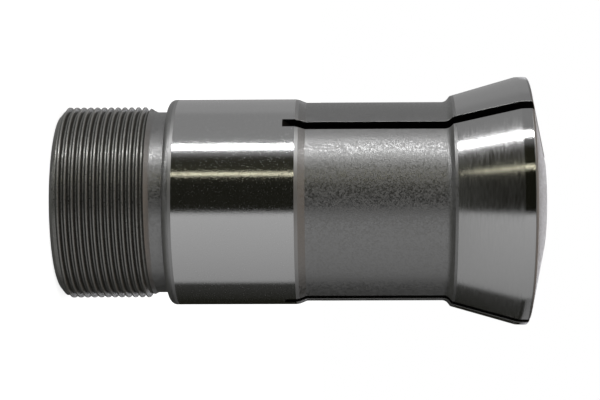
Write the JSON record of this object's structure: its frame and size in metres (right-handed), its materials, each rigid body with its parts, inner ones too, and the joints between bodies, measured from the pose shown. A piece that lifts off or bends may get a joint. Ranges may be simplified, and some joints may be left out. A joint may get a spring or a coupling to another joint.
{
  "type": "steady rest collet",
  "caption": "Draw-type guide collet: rear outside thread, ground shank, relieved neck and a tapered head, parted into fingers by long saw slots round a smooth guide bore.",
  "frame": {"origin": "centre of the rear face, on the collet's axis", "axes": "+Z along the axis from the threaded rear face to the nose; the first slot opens 42 degrees past -X towards -Y"},
  "size_m": [0.0362, 0.0362, 0.07],
  "materials": {
    "hardened_steel": "ground bands, blasted neck, turned thread"
  },
  "bodies": {
    "root": {"collet_body": "hardened_steel"}
  },
  "joints": []
}
